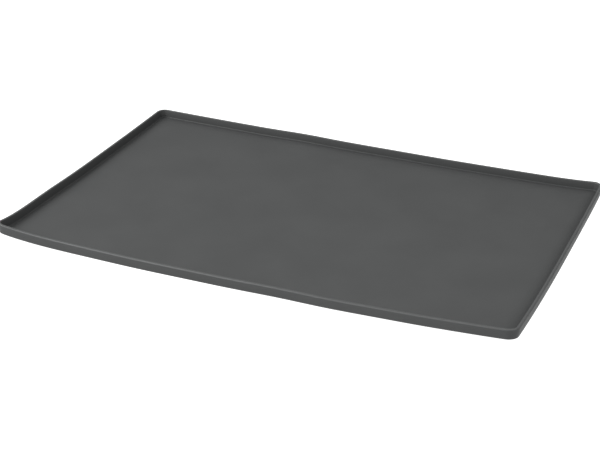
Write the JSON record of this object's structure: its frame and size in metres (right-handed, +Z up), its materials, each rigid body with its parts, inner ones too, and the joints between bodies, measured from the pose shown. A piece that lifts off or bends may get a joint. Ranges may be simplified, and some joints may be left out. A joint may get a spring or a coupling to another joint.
{
  "type": "seedling heat mat",
  "caption": "Rectangular rimmed silicone tray mat with a sealed film heater under its floor and a low inlet box behind the rear rim.",
  "frame": {"origin": "on the surface the mat stands on, under the middle of the tray, at the bottom of the centre foot", "axes": "+X along the long side, +Y towards the rear rim with the inlet box, +Z up"},
  "size_m": [0.6, 0.4133, 0.0124],
  "materials": {
    "silicone": "matte moulded silicone, dark grey",
    "bond": "die-cut bonding rubber",
    "fleece": "off-white needled aramid fleece",
    "film": "amber polyester film",
    "track": "etched resistance foil",
    "foil": "plain aluminium foil",
    "housing": "fine-grained glass-filled nylon",
    "gasket": "black rubber",
    "screw": "stainless steel",
    "terminal": "off-white terminal plastic",
    "cutout": "black phenolic case",
    "tin": "tinned copper",
    "lead": "light grey silicone insulation"
  },
  "bodies": {
    "root": {"tray_shell": "silicone", "base_cover": "silicone", "perimeter_seal": "bond", "insulation_fleece": "fleece", "lower_film": "film", "heating_track": "track", "upper_film": "film", "heat_spreader": "foil", "foot_front_left": "gasket", "foot_front_centre": "gasket", "foot_front_right": "gasket", "foot_middle_left": "gasket", "foot_middle_centre": "gasket", "foot_middle_right": "gasket", "foot_rear_left": "gasket", "foot_rear_centre": "gasket", "foot_rear_right": "gasket", "inlet_base": "housing", "inlet_lid": "housing", "inlet_gasket": "gasket", "lid_screw_left": "screw", "lid_screw_right": "screw", "gland_nut": "housing", "gland_seal": "gasket", "crimp_live": "tin", "crimp_neutral": "tin", "thermal_cutout": "cutout", "terminal_block": "terminal", "terminal_screw_live": "screw", "terminal_screw_neutral": "screw", "lead_live": "lead", "lead_neutral": "lead", "lead_cutout": "lead"}
  },
  "joints": []
}
